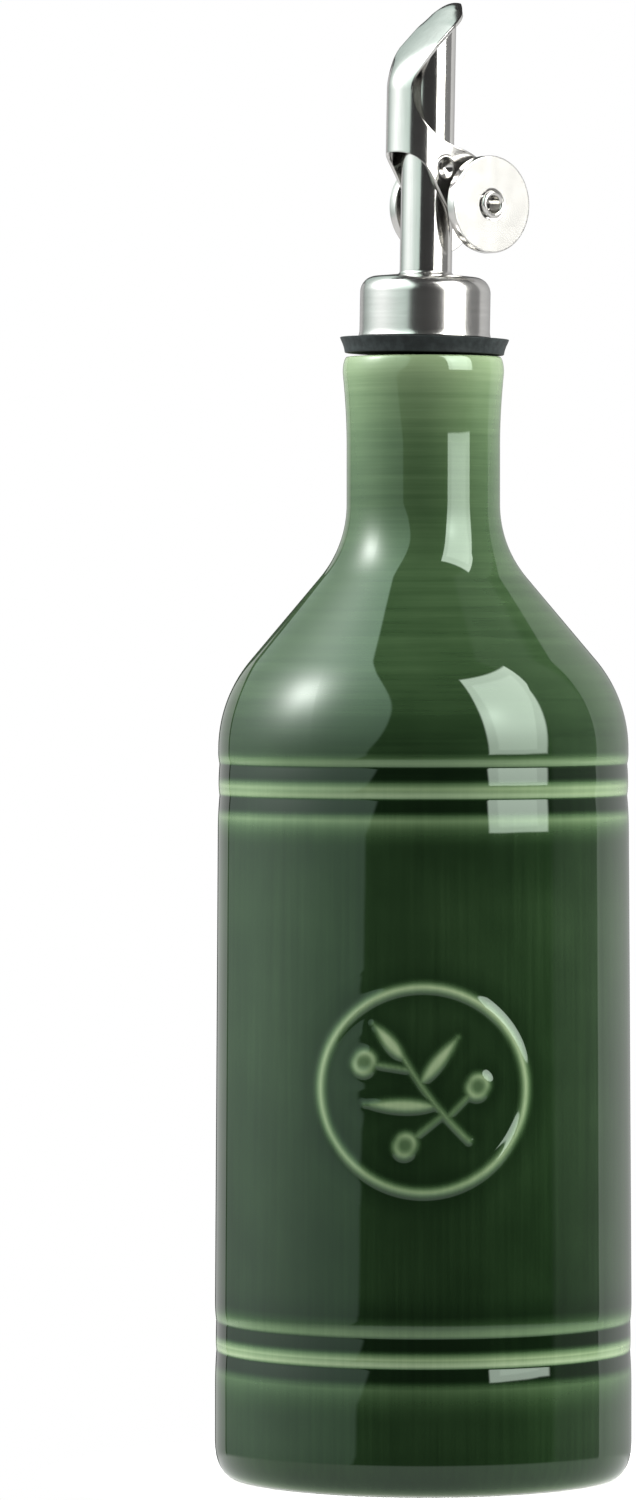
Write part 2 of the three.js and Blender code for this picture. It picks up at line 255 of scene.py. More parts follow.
def steelFinish(name, grain, roughness, spread, bump, shade=1.0):
    finish, shader, place = newFinish(name, Metallic=1.0)
    lines = place.stretch(grain).noise(1.0, 4.0, 0.65)
    grit = place.noise(steel["gritScale"], 2.0, 0.6)
    cloud = place.noise(steel["cloudScale"], 3.0)
    dark, light = ([shade * channel for channel in steel[tone]] for tone in ("dark", "light"))
    colour = (lines * 0.6 + cloud * 0.4).rise(0.3, 0.7).mix(dark, light)
    rough = (lines * 0.5 + cloud * 0.5 - 0.5) * spread + roughness
    relief = (lines * 0.6 + grit * 0.4).bump(bump, steel["bumpDistance"])
    feed(shader, Base_Color=colour, Roughness=rough, Normal=relief)
    return finish


# Rubber

rubber = {
    "dark": (0.006, 0.008, 0.008), "light": (0.014, 0.018, 0.018), "specular": 0.18,
    "roughness": 0.45, "roughnessSpread": 0.2, "dustScale": 700.0,
    "grainScale": 2400.0, "grain": {"strength": 0.12, "distance": 0.0002},
}


def rubberFinish():
    finish, shader, place = newFinish("blackRubber", Specular_IOR_Level=rubber["specular"])
    dust = place.noise(rubber["dustScale"], 4.0, 0.6)
    colour = dust.rise(0.35, 0.75).mix(rubber["dark"], rubber["light"])
    roughness = dust * rubber["roughnessSpread"] + rubber["roughness"]
    relief = place.noise(rubber["grainScale"]).bump(**rubber["grain"])
    feed(shader, Base_Color=colour, Roughness=roughness, Normal=relief)
    return finish


greenGlaze = glazeFinish()
turnedSteel = steelFinish(
    "turnedSteel", (60, 60, 1200), roughness=0.20, spread=0.05, bump=0.012, shade=0.88)
drawnSteel = steelFinish("drawnSteel", (2600, 2600, 40), roughness=0.13, spread=0.06, bump=0.04)
sheetSteel = steelFinish("sheetSteel", (900, 900, 120), roughness=0.15, spread=0.04, bump=0.012)
groundSteel = steelFinish("groundSteel", (420, 420, 420), roughness=0.22, spread=0.06, bump=0.005)
blackRubber = rubberFinish()
print("finishes ready")


# Bottle

bottle = {
    "baseRadius": 0.0400, "baseEdge": (0.0035, 0.0063), "taperStart": 0.034,
    "shoulderHeight": 0.1395, "shoulderRadius": 0.03935, "shoulderArc": 0.0265, "shoulderTurn": 40.2,
    "neckRadius": 0.0147, "neckArc": 0.022, "neckStart": 0.1865,
    "flareStart": 0.198, "flareCorner": 0.204, "lipRadius": 0.01545, "lipAcross": 0.0008, "lipArc": 0.0030,
    "top": 0.21465,
    # heights and steps in from the wall: a crest, a groove floor, a crest, a groove floor, a crest
    "bands": (
        ((0.0172, 0.0), (0.0242, 0.00028), (0.0258, 0.00016), (0.0299, 0.00024), (0.0330, 0.0)),
        ((0.1240, 0.0), (0.1307, 0.00030), (0.1331, 0.00010), (0.1367, 0.00026), (0.1388, 0.0)),
    ),
    # height and glaze thickness away from the bands; the thick line at 0.0070, above the foot's rounded
    # edge, is a painted dark reflection of the table's edge
    "glazeDepthAndShade": (
        (0.0000, 0.34), (0.0018, 0.95), (0.0030, 1.06), (0.0062, 1.06), (0.0070, 1.28), (0.0080, 1.06),
        (0.0150, 1.06), (0.0180, 0.90), (0.0328, 1.05), (0.0340, 1.24), (0.0380, 1.12), (0.0700, 1.08),
        (0.1100, 1.00), (0.1205, 1.09), (0.1225, 1.07), (0.1250, 0.80), (0.1387, 0.88), (0.1395, 1.02),
        (0.1420, 1.02), (0.1480, 0.92), (0.1600, 0.83), (0.1830, 0.79), (0.1930, 0.74), (0.2080, 0.55),
        (0.2150, 0.40),
    ),
    # in the bands it is thin on each ridge and thicker below each groove floor, pooled glaze and painted
    # shade, by height over the floor
    "poolAndShade": 1.36, "ridges": ((0.73, 0.40, 0.59), (0.54, 0.43, 0.54)),
    "poolAndShadeShare": ((-0.0040, 0.03), (-0.0031, 0.30), (-0.0022, 1.0), (-0.0002, 1.0)),
    "ridgeShare": ((0.0001, 0.18), (0.0006, 0.0), (0.0014, 0.10)),
    "frontAngle": 66, "frontSteps": 160, "backSteps": 72,
    "fineRow": 0.00027, "coarseRow": 0.0016, "bandMargin": 0.001, "lastRow": 0.0004,
}

medallion = {
    "height": 0.0765, "radius": 0.0192, "halfWidth": 0.00085, "relief": 0.00010, "soft": 0.0010,
    "moat": 0.0030, "moatDepth": 0.00005, "moatGlaze": 0.09, "reliefGlaze": 0.68,
    "stem": ((0.0085, -0.0095), (0.0015, -0.0030), (-0.0040, 0.0065)),
    "stemWidth": 0.00055, "stalkShare": 0.8, "leafTipShare": 0.4,
    "leafWidth": 0.0013, "leafSkew": 0.85, "leafRoundness": 0.8,
    "oliveLength": 0.0027, "oliveWidth": 0.0023, "oliveTurn": 60,
    "dish": 0.45, "dishInner": 0.2, "dishOuter": 0.95,
    "leaves": ((0.95, (-0.0093, 0.0123)), (0.45, (-0.0110, -0.0028)), (0.70, (0.0065, 0.0098))),
    "olives": ((0.30, (0.0102, 0.0006)), (0.35, (-0.0034, -0.0104)), (0.85, (-0.0110, 0.0050))),
    "reach": 0.0245,
}


def bandStep(z):                                    # how far the wall steps in at a height
    for keys in bottle["bands"]:
        for index, ((low, stepLow), (high, stepHigh)) in enumerate(zip(keys, keys[1:])):
            if low <= z <= high:
                along = (z - low) / (high - low)
                share = along ** 2 if index % 2 == 0 else 1 - (1 - along) ** 2
                return stepLow + (stepHigh - stepLow) * share
    return 0.0


def glazeKeys():                                    # glaze thickness by height, with the bands, partly painted shade
    b = bottle
    keys = list(b["glazeDepthAndShade"])
    for band, ridges in zip(b["bands"], b["ridges"]):
        for groove, (floorHeight, _) in enumerate(band[1::2]):
            sides = ((ridges[groove], b["poolAndShadeShare"]), (ridges[groove + 1], b["ridgeShare"]))
            for ridge, shares in sides:             # under the floor pooled glaze and painted shade, then above it
                keys += [(floorHeight + up, ridge + (b["poolAndShade"] - ridge) * share) for up, share in shares]
    return np.array(sorted(keys)).T


def wallRadius(z):
    rise = np.clip((z - bottle["taperStart"]) / (bottle["shoulderHeight"] - bottle["taperStart"]), 0, 1)
    return bottle["baseRadius"] + (bottle["shoulderRadius"] - bottle["baseRadius"]) * rise - bandStep(z)


def wallHeights():                                  # rows close together at the bands and the medallion
    b = bottle
    margin = b["bandMargin"]
    heights = [b["baseEdge"][1]]
    while heights[-1] < b["shoulderHeight"] - b["lastRow"]:
        z = heights[-1]
        inBand = any(keys[0][0] - margin < z < keys[-1][0] + margin for keys in b["bands"])
        inRing = abs(z - medallion["height"]) < medallion["reach"]
        heights.append(z + b["fineRow" if inBand or inRing else "coarseRow"])
    return heights[1:-1]


def bottleOutline():
    b = bottle
    foot = b["baseRadius"] - b["baseEdge"][0]
    outline = [(0, 0), (foot, 0)]
    outline += arc((foot, b["baseEdge"][1]), b["baseEdge"], -90, 0, 16)[1:]
    outline += [(wallRadius(z), z) for z in wallHeights()]
    turn = b["shoulderTurn"]
    shoulder = (b["shoulderRadius"] - b["shoulderArc"], b["shoulderHeight"])
    outline += arc(shoulder, [b["shoulderArc"]] * 2, 0, turn, 26)
    neck = b["neckRadius"]
    outline += arc((neck + b["neckArc"], b["neckStart"]), [b["neckArc"]] * 2, turn - 180, -180, 24)
    lipFoot = b["top"] - b["lipArc"]
    flare = ((neck, b["flareStart"]), (neck, b["flareCorner"]), (b["lipRadius"], lipFoot))
    outline += [tuple(bezier(flare, i / 12)) for i in range(12)]
    outline += arc((b["lipRadius"] - b["lipAcross"], lipFoot), (b["lipAcross"], b["lipArc"]), 0, 90, 12)
    return outline + [(0, b["top"])]


def strokeDiscs():                                  # the sprig as rows of discs: place, radius
    m = medallion
    discs = []
    for share in np.linspace(0, 1, 40):             # stem
        discs.append((*bezier(m["stem"], share), m["stemWidth"]))
    for along, end in m["leaves"]:
        start = bezier(m["stem"], along)
        for share in np.linspace(0, 1, 40):
            bulge = sin(pi * share ** m["leafSkew"]) ** m["leafRoundness"] if 0 < share < 1 else 0
            width = max(m["leafWidth"] * bulge, m["leafTipShare"] * m["stemWidth"])
            discs.append((*start.lerp(Vector(end), share), width))
    for along, end in m["olives"]:
        start = bezier(m["stem"], along)
        for share in np.linspace(0, 1, 24):
            discs.append((*start.lerp(Vector(end), share), m["stalkShare"] * m["stemWidth"]))
        lengthwise = Vector((cos(radians(m["oliveTurn"])), sin(radians(m["oliveTurn"]))))
        for share in np.linspace(-1, 1, 9):
            spot = Vector(end) + lengthwise * share * (m["oliveLength"] - m["oliveWidth"])
            discs.append((*spot, m["oliveWidth"]))
    return np.array(discs)


def reliefFields(x, z):                             # raised share and pooled share at medallion places
    m = medallion
    away = np.abs(np.hypot(x, z) - m["radius"]) - m["halfWidth"]
    for px, pz, radius in strokeDiscs():
        away = np.minimum(away, np.hypot(x - px, z - pz) - radius)
    raised = 1 - ease(-m["soft"], m["soft"], away)
    pooled = np.exp(-(np.maximum(away, 0) / m["moat"]) ** 2) * (1 - raised)
    for _, end in m["olives"]:                      # each fruit is a little dished
        inside = np.hypot(x - end[0], z - end[1])
        rimward = ease(m["dishInner"] * m["oliveWidth"], m["dishOuter"] * m["oliveWidth"], inside)
        raised = raised - m["dish"] * (1 - rimward)
    return raised, pooled


def shapeBottle():
    front = radians(bottle["frontAngle"])
    piece = drawOutline("bottleBody", bottleOutline(), -pi / 2 + front / 2)
    spinRound((front, bottle["frontSteps"]), (2 * pi - front, bottle["backSteps"]))
    mesh = piece.data
    places = np.empty(len(mesh.vertices) * 3)
    mesh.vertices.foreach_get("co", places)
    places = places.reshape(-1, 3)
    heights, depths = glazeKeys()
    depth = np.interp(places[:, 2], heights, depths)
    x = places[:, 0]
    z = places[:, 2] - medallion["height"]
    near = (places[:, 1] < 0) & (np.hypot(x, z) < medallion["reach"])
    raised, pooled = reliefFields(x[near], z[near])
    outward = places[near] * (1, 1, 0)
    outward /= np.linalg.norm(outward, axis=1)[:, None]
    height = raised * medallion["relief"] - pooled * medallion["moatDepth"]
    places[near] += outward * height[:, None]
    depth[near] += pooled * medallion["moatGlaze"] - np.clip(raised, 0, 1) * medallion["reliefGlaze"]
    mesh.vertices.foreach_set("co", places.ravel())
    stored = mesh.attributes.new("glazeDepthAndShade", "FLOAT", "POINT")
    stored.data.foreach_set("value", depth.astype(np.float32))
    mesh.update()
    finishPiece(piece, "bottle", "bottle", greenGlaze, 60)


shapeBottle()


# Stopper frame: it leans a little, and the pourer is turned on it

stopper = {"lean": 1.0, "leanHeight": 0.205, "yaw": 36.0, "hingeHeight": 0.2507}
leaning = (
    Matrix.Translation((0, 0, stopper["leanHeight"]))
    @ Matrix.Rotation(radians(stopper["lean"]), 4, "Y")
    @ Matrix.Translation((0, 0, -stopper["leanHeight"]))
    @ Matrix.Rotation(radians(stopper["yaw"]), 4, "Z")
)
hinge = leaning @ Matrix.Translation((0, 0, stopper["hingeHeight"]))


# Gasket

gasket = {
    "bottom": 0.2152, "top": 0.2182, "radius": 0.0162, "taper": 0.0005, "lip": 0.0004, "edge": 0.00025,
    "waistUp": 0.0014, "waistShare": 0.3, "rim": 0.0001, "seat": 0.0022, "sides": 128,
}


def shapeGasket():
    g = gasket
    foot = g["radius"] - g["taper"] - g["lip"]
    low = g["bottom"] + g["edge"]
    outline = [(0, g["bottom"]), (foot - g["edge"], g["bottom"])]
    outline += arc((foot - g["edge"], low), [g["edge"]] * 2, -90, 0, 5)[1:]
    waist = (foot + g["waistShare"] * g["taper"], g["bottom"] + g["waistUp"])
    side = ((foot, low), waist, (g["radius"], g["top"] - g["edge"]))
    outline += [tuple(bezier(side, i / 8)) for i in range(1, 8)]
    outline += arc((g["radius"] - g["rim"], g["top"] - g["rim"]), [g["rim"]] * 2, -20, 90, 5)
    outline += [(g["radius"] - g["seat"], g["top"]), (0, g["top"])]
    piece = drawOutline("gasketRing", outline)
    spinRound((2 * pi, g["sides"]))
    settle(piece, leaning)
    finishPiece(piece, "gasket", "bottle", blackRubber)


shapeGasket()


# Collar

collar = {
    "bottom": 0.2183, "top": 0.2300, "topRise": 0.0004, "radius": 0.0125, "sides": 128,
    "edgeAcross": 0.0030, "edgeDown": 0.0031, "edgeTurn": 82,
    "footEdge": 0.0003, "flareAcross": 0.0002, "flareBend": 0.0007, "flareUp": 0.0015,
    "fillet": 0.0006, "filletRadius": 0.0050, "bore": 0.0046, "boreFloor": 0.001,
}


def shapeCollar():
    c = collar
    widest = c["radius"] + c["flareAcross"]
    low = c["bottom"] + c["footEdge"]
    outline = [(0, c["bottom"]), (widest - c["footEdge"], c["bottom"])]
    outline += arc((widest - c["footEdge"], low), [c["footEdge"]] * 2, -90, 0, 6)[1:]
    bend = (c["radius"], c["bottom"] + c["flareBend"])
    side = ((widest, low), bend, (c["radius"], c["bottom"] + c["flareUp"]))
    outline += [tuple(bezier(side, i / 6)) for i in range(1, 7)]
    rim = (c["radius"] - c["edgeAcross"], c["top"] - c["edgeDown"])
    outline += arc(rim, (c["edgeAcross"], c["edgeDown"]), 0, c["edgeTurn"], 22)
    ledge = c["top"] + c["topRise"] + c["fillet"]
    outline += arc((c["filletRadius"] + c["fillet"], ledge), [c["fillet"]] * 2, -95, -180, 7)
    deep = c["bottom"] + c["boreFloor"]
    outline += [(c["bore"], ledge), (c["bore"], deep), (0, deep)]
    piece = drawOutline("collarCap", outline)
    spinRound((2 * pi, c["sides"]))
    settle(piece, leaning)
    finishPiece(piece, "collar", "bottle", turnedSteel)


shapeCollar()


# Spout tube

tube = {
    "radius": 0.0050, "wall": 0.0007, "bottom": 0.2303, "mouth": 0.2756, "slope": 43.0,
    "hingeHole": 0.0021, "rim": 0.00015, "sides": 96, "rings": 60,
}


def shapeTube():
    t = tube
    heights = np.linspace(t["bottom"], t["mouth"] + 2 * t["radius"], t["rings"])
    piece = drawOutline("spoutTube", [(t["radius"], z) for z in heights])
    spinRound((2 * pi, t["sides"]))
    bpy.ops.object.mode_set(mode="EDIT")
    bpy.ops.mesh.select_all(action="SELECT")
    slope = radians(t["slope"])
    facing = (-sin(slope), 0, cos(slope))
    bpy.ops.mesh.bisect(plane_co=(0, 0, t["mouth"]), plane_no=facing, clear_outer=True)
    bpy.ops.object.mode_set(mode="OBJECT")
    applyModifier(piece, "SOLIDIFY", thickness=t["wall"], offset=-1, use_even_offset=True)
    roundEdges(piece, t["rim"], segments=2, angle=50)
    bpy.ops.object.select_all(action="DESELECT")
    bpy.ops.mesh.primitive_cylinder_add(
        vertices=48, radius=t["hingeHole"], depth=4 * t["radius"],
        location=(0, 0, stopper["hingeHeight"]), rotation=(pi / 2, 0, 0))
    drill = bpy.context.object
    bpy.ops.object.select_all(action="DESELECT")
    piece.select_set(True)
    bpy.context.view_layer.objects.active = piece
    applyModifier(piece, "BOOLEAN", object=drill, operation="DIFFERENCE", solver="EXACT")
    bpy.data.objects.remove(drill)
    settle(piece, leaning)
    finishPiece(piece, "spout_tube", "bottle", drawnSteel)


shapeTube()


# Flap: one bent sheet with a round back, a spoon lid and two arms that end round the weights. The hinge
# is at the origin.

weight = {
    "x": 0.0078, "z": -0.0068, "radius": 0.0093, "inner": 0.0080, "outer": 0.0102,
    "edge": 0.00025, "hole": 0.0029, "toeIn": 2.4, "sides": 128,
}

flap = {
    "sheet": 0.0007, "radius": 0.0061, "back": -0.0085, "backBottom": 0.0028,
    "backDrop": 0.0056, "dropPower": 3,
    "notch": ((-0.0069, 0.0150), (-0.0069, 0.0060), (0.0039, 0.0037)),
    "armShoulder": (0.0112, 0.0014), "armEnd": 0.0061, "armFrom": 214, "armTip": 302, "armTo": 390,
    "bend": ((-0.0085, 0.0150), (-0.0085, 0.01859), (-0.0045, 0.02237)),
    "curl": ((0.0041, 0.03092), (0.0076, 0.0334), (0.0074, 0.0313)),
    "lidHalfWidth": 0.0061, "lidArc": 0.031, "tipArc": 0.0080, "lidWidest": 0.44, "skewPower": 0.8,
    "tipStart": 0.645, "tipRoundness": (2.4, 0.95), "tipHalfWidth": 0.0004, "tipSkew": 0.0018,
    "armStart": 91.5, "armTwist": 0.07, "twistFrom": 0.0005, "twistLength": 0.008,
    "dimple": 0.0024, "dimpleDepth": 0.0010, "rim": 0.00016,
    "sideColumns": 76, "middleColumns": 28, "rows": 40, "lidRows": 56,
}
flapCentre = flap["back"] + flap["radius"]
flapQuarter = flap["radius"] * pi / 2               # length round the back from its middle to an arm


def unrolled(x):                                    # length along the sheet from the middle of its back
    if x >= flapCentre:
        return flapQuarter + x - flapCentre
    return flap["radius"] * acos((flapCentre - x) / flap["radius"])


def lowerEdge(along):                               # height of the back's lower edge
    return flap["backBottom"] - flap["backDrop"] * min(1, along / flapQuarter) ** flap["dropPower"]


def evenly(path, count):                            # a path's points again, at even steps of its length
    path = np.array(path)
    steps = np.concatenate(([0], np.cumsum(np.hypot(*np.diff(path, axis=0).T))))
    wanted = np.linspace(0, steps[-1], count)
    return np.stack([np.interp(wanted, steps, path[:, k]) for k in (0, 1)], axis=1)


def sideEdges():                                    # lower and upper edge of an arm, from waist to tip
    f = flap
    waist = unrolled(f["notch"][0][0])
    end = (weight["x"], weight["z"])
    reach = [f["armEnd"]] * 2
    lower = [(along, lowerEdge(along)) for along in np.linspace(waist, flapQuarter, 30)]
    lower += [(unrolled(x), z) for x, z in arc(end, reach, f["armFrom"], f["armTip"], 30)]
    turned = arc(end, reach, f["armTo"], f["armTip"], 30)
    neck = (f["notch"][2], f["armShoulder"], turned[0])
    upper = [bezier(f["notch"], i / 40) for i in range(40)] + [bezier(neck, i / 20) for i in range(20)]
    upper = [(unrolled(x), z) for x, z in [*upper, *turned]]
    return evenly(lower, f["sideColumns"] + 1), evenly(upper, f["sideColumns"] + 1)


def lidSpine():                                     # the lid's middle line from the back to the tip
    curves = [bezier(flap[name], i / 40) for name in ("bend", "curl") for i in range(41)]
    return evenly(curves, 401)


def lidPoint(along, across):                        # along the lid from 0 to 1, across it from -1 to 1
    f = flap
    widen = float(ease(0, f["lidWidest"], along))
    past = max(0, (along - f["tipStart"]) / (1 - f["tipStart"]))
    bow = (1 - widen) / f["radius"] + widen * ((1 - past) / f["lidArc"] + past / f["tipArc"])
    waist = f["radius"] * sin(unrolled(f["notch"][0][0]) / f["radius"])
    power, root = f["tipRoundness"]
    wide = (waist + (f["lidHalfWidth"] - waist) * widen) * max(0, 1 - past ** power) ** root
    opening = np.arcsin(max(wide, f["tipHalfWidth"]) * bow) * across
    step = along * (len(lidLine) - 1)
    index = min(int(step), len(lidLine) - 2)
    ahead = lidLine[index + 1] - lidLine[index]
    heading = ahead / np.linalg.norm(ahead)
    spot = lidLine[index] + ahead * (step - index)
    inward = (1 - cos(opening)) / bow
    skew = f["tipSkew"] * past ** f["skewPower"]
    return (spot[0] + heading[1] * inward, sin(opening) / bow + skew, spot[1] - heading[0] * inward)


lidLine = lidSpine()


def wrapped(along, z):                              # a place on the unrolled sheet, bent round the back
    f = flap
    start = radians(f["armStart"])
    turn = min(abs(along) / f["radius"], start)
    past = abs(along) - f["radius"] * turn
    x = flapCentre - f["radius"] * cos(turn) + past
    fromHinge = np.hypot(x, z) / f["dimple"]
    press = f["dimpleDepth"] * cos(pi / 2 * fromHinge) ** 2 if past > 0 and fromHinge < 1 else 0
    twist = f["armTwist"] * sin(pi / 2 * min(1, past / f["twistLength"])) * (z - f["twistFrom"])
    lean = past * (pi / 2 - start) + twist          # the arms lean in a little, more so lower down
    return (x, np.sign(along) * (f["radius"] * sin(turn) + lean - press), z)


def flapPlace(column, row):                         # where a vertex of the flat grid goes
    f = flap
    lower, upper = flapEdges
    middle = f["sideColumns"] + f["middleColumns"] / 2
    fromMiddle = middle - column
    side = np.sign(fromMiddle)
    past = int(round(abs(fromMiddle) - f["middleColumns"] / 2))
    if past > 0:
        along, z = lower[past] + (upper[past] - lower[past]) * (row / f["rows"])
        return wrapped(side * along, z)
    across = fromMiddle / (f["middleColumns"] / 2)
    if row > f["rows"]:
        return lidPoint(sin(pi / 2 * (row - f["rows"]) / f["lidRows"]), across)
    along = across * lower[0][0]
    low = lowerEdge(abs(along))
    return wrapped(along, low + (upper[0][1] - low) * (row / f["rows"]))


flapEdges = sideEdges()


def shapeFlap():
    f = flap
    columns = 2 * f["sideColumns"] + f["middleColumns"]
    rows = f["rows"] + f["lidRows"]
    bpy.ops.object.select_all(action="DESELECT")
    bpy.ops.mesh.primitive_grid_add(x_subdivisions=columns, y_subdivisions=rows, size=1)
    piece = bpy.context.object
    piece.name = "flapSheet"
    lidBottom = f["rows"] / rows - 0.5
    lidSide = f["middleColumns"] / columns / 2
    selectFaces(piece, lambda face: face.center.y > lidBottom and abs(face.center.x) > lidSide)
    bpy.ops.mesh.delete(type="FACE")
    bpy.ops.object.mode_set(mode="OBJECT")
    for vertex in piece.data.vertices:
        column = round((vertex.co.x + 0.5) * columns)
        row = round((vertex.co.y + 0.5) * rows)
        vertex.co = flapPlace(column, row)
    bpy.ops.object.mode_set(mode="EDIT")
    bpy.ops.mesh.select_all(action="SELECT")
    bpy.ops.mesh.remove_doubles(threshold=mergeGap)
    bpy.ops.object.mode_set(mode="OBJECT")
    applyModifier(piece, "SOLIDIFY", thickness=f["sheet"], offset=-1)
    roundEdges(piece, f["rim"], segments=2, angle=60)
    settle(piece, hinge)
    finishPiece(piece, "flap_shell", "flap", sheetSteel, 45)


shapeFlap()


# Counterweights and hollow rivets, one pair at each arm

rivet = {
    "head": 0.0024, "headIn": 0.0040, "armInner": 0.0046, "armOuter": 0.0053, "shank": 0.0019,
    "spacer": 0.0029, "spacerIn": 0.0004, "flange": 0.0027, "flangeHeight": 0.0008,
    "bore": 0.0016, "floor": 0.0077, "cupWall": 0.0006, "cupDepth": 0.0005, "sides": 64,
}


def sidePlace(side):                                # turns a piece made along Z out of one arm
    toeIn = radians(weight["toeIn"])
    upright = Matrix.Rotation(-side * toeIn, 4, "Z") @ Matrix.Rotation(-side * pi / 2, 4, "X")
    armFace = Matrix.Translation((weight["x"], side * flap["radius"], weight["z"]))
    return hinge @ armFace @ upright @ Matrix.Translation((0, 0, -flap["radius"]))


def shapeWeight(name, node, side):
    w = weight
    depth = w["outer"] - w["inner"]
    bpy.ops.object.select_all(action="DESELECT")
    bpy.ops.mesh.primitive_cylinder_add(
        vertices=w["sides"], radius=w["radius"], depth=depth, location=(0, 0, w["inner"] + depth / 2))
    piece = bpy.context.object
    piece.name = name
    bpy.ops.object.transform_apply(location=True)
    selectFaces(piece, lambda face: abs(face.normal.z) > 0.9)
    bpy.ops.mesh.inset(thickness=w["radius"] - w["hole"])
    bpy.ops.mesh.bridge_edge_loops()
    bpy.ops.object.mode_set(mode="OBJECT")
    roundEdges(piece, w["edge"], segments=4, angle=50)
    selectFaces(piece, lambda face: abs(face.normal.z) > 0.999)
    bpy.ops.mesh.inset(thickness=w["edge"] / 4)     # keeps the shading of the flat faces flat
    bpy.ops.object.mode_set(mode="OBJECT")
    settle(piece, sidePlace(side))
    finishPiece(piece, node, "flap", groundSteel, 30)


def shapeRivet(name, node, side):
    r = rivet
    roll = (r["flange"] - r["bore"]) / 2
    ring = weight["outer"] + r["flangeHeight"] - roll
    spacerTop = weight["inner"] + r["spacerIn"]
    outline = [(0, r["headIn"]), (r["head"], r["headIn"])]
    outline += [(r["head"], r["armInner"]), (r["shank"], r["armInner"])]
    outline += [(r["shank"], r["armOuter"]), (r["spacer"], r["armOuter"])]
    outline += [(r["spacer"], spacerTop), (r["shank"], spacerTop)]
    outline += [(r["shank"], weight["outer"]), (r["flange"], weight["outer"])]
    outline += arc((r["bore"] + roll, ring), [roll] * 2, 0, 180, 17)
    outline += [(r["bore"], r["floor"] + r["cupWall"])]
    outline += arc((0, r["floor"]), (r["bore"], r["cupDepth"]), 30, 90, 5)
    piece = drawOutline(name, outline)
    spinRound((2 * pi, r["sides"]))
    settle(piece, sidePlace(side))
    finishPiece(piece, node, "flap", sheetSteel)


for side, word in ((-1, "front"), (1, "back")):
    shapeWeight("weightDisc_" + word, "weight_" + word, side)
    shapeRivet("hollowRivet_" + word, "rivet_" + word, side)


# Floor

floor = {"radius": 0.2, "colour": (0.62, 0.62, 0.615), "speckle": 0.02, "fade": (0.045, 0.075)}


def shapeFloor():
    bpy.ops.object.select_all(action="DESELECT")
    bpy.ops.mesh.primitive_circle_add(vertices=96, radius=floor["radius"], fill_type="NGON")
    piece = bpy.context.object
    piece.name = "paleFloor"
    finish, shader, place = newFinish("paleFloor", Roughness=0.9)
    speck = place.noise(900.0, 2.0)
    tone = [speck * floor["speckle"] + (level - floor["speckle"] / 2) for level in floor["colour"]]
    feed(shader, Base_Color=place.add("ShaderNodeCombineColor", {}, dict(enumerate(tone))))
    away = place.add("ShaderNodeVectorMath", {"operation": "LENGTH"}, {0: place}, "Value")
    feed(shader, Alpha=1 - away.rise(*floor["fade"]))
    piece.data.materials.append(finish)
    piece.visible_diffuse = False                   # the room lights the bottle from below
    piece.visible_glossy = False
    piece.visible_shadow = False


shapeFloor()


# Room: pale for the camera. Everything else sees a dim studio with a large round screen on the left
# that a lamp shines through, a soft box on the right, a white card behind it and a pale table.
# Angles are in degrees, azimuth from the front to the right.

room = {"pale": 1.0, "dim": 0.05, "sideLevel": 0.25, "sideLeft": (74, 80), "sideRight": (112, 120)}
screen = {
    "azimuth": -95, "height": 32, "halfWidth": 75, "above": 39.5, "below": 60, "soft": 0.03,
    "end": (-168, -165), "rearTop": (55, 58), "topTurn": (-112, -92), "topStep": 20,
    "level": 0.68, "climb": 0.027, "rear": (-145, -100), "rearLevel": 0.42, "tint": (0.89, 1.12, 1.02),
}
glow = {"azimuth": -86, "height": 36, "level": 15.0, "width": 16.8, "tint": (1.12, 1.0, 1.08)}
softBox = {
    "left": 37.0, "leftLean": -0.07, "right": 74.0, "rightLean": 0.06, "rightBow": 0.0032,
    "bottom": -0.35, "bottomSharpness": 4, "top": 59.0,
    "soft": 0.8, "border": 6.0, "borderLevel": 0.85, "level": 12.0, "tint": (1.0, 1.0, 0.97),
    "lowLevel": 0.7, "fullHeight": 22,
    "hotAzimuth": 43, "hotHeight": 27, "hotLevel": 4.0, "hotWidth": 10.0,
}
card = {
    "azimuth": 143, "halfWidth": 29, "height": 46, "roundness": 2.5, "level": 0.85, "soft": 0.04,
    "fade": (120, 170), "fadeLevel": 0.5,
}
rearCard = {"azimuth": -155, "halfWidth": 13, "height": 15, "roundness": 2.5, "level": 0.6, "soft": 0.04}
seam = (1.30, 1.45)                                 # where the screen starts, from the rear card's middle
table = {"edge": (-11, -8), "level": 0.95}


def spotLevel(heading, azimuth, height, width):     # 1 in a direction, fading all round it
    turn, lift = radians(azimuth), radians(height)
    middle = (sin(turn) * cos(lift), -cos(turn) * cos(lift), sin(lift))
    pair = {0: heading, 1: middle}
    towards = heading.add("ShaderNodeVectorMath", {"operation": "DOT_PRODUCT"}, pair, "Value")
    fall = (1 - towards) * (2 / radians(width) ** 2) + 1
    return heading.math("DIVIDE", 1.0, fall * fall)


def cardDistance(board, azimuth, height):           # 1 at the edge of a round-topped card, less inside it
    turn = azimuth - board["azimuth"]
    turn = turn.math("WRAP", turn, 180.0, -180.0)
    across = turn.math("ABSOLUTE", turn) * (1 / board["halfWidth"])
    up = turn.math("MAXIMUM", height, 0.0) * (1 / board["height"])
    return turn.math("POWER", across, board["roundness"]) + turn.math("POWER", up, board["roundness"])


def cardMask(board, azimuth, height):
    return 1 - cardDistance(board, azimuth, height).rise(1 - board["soft"], 1 + board["soft"])


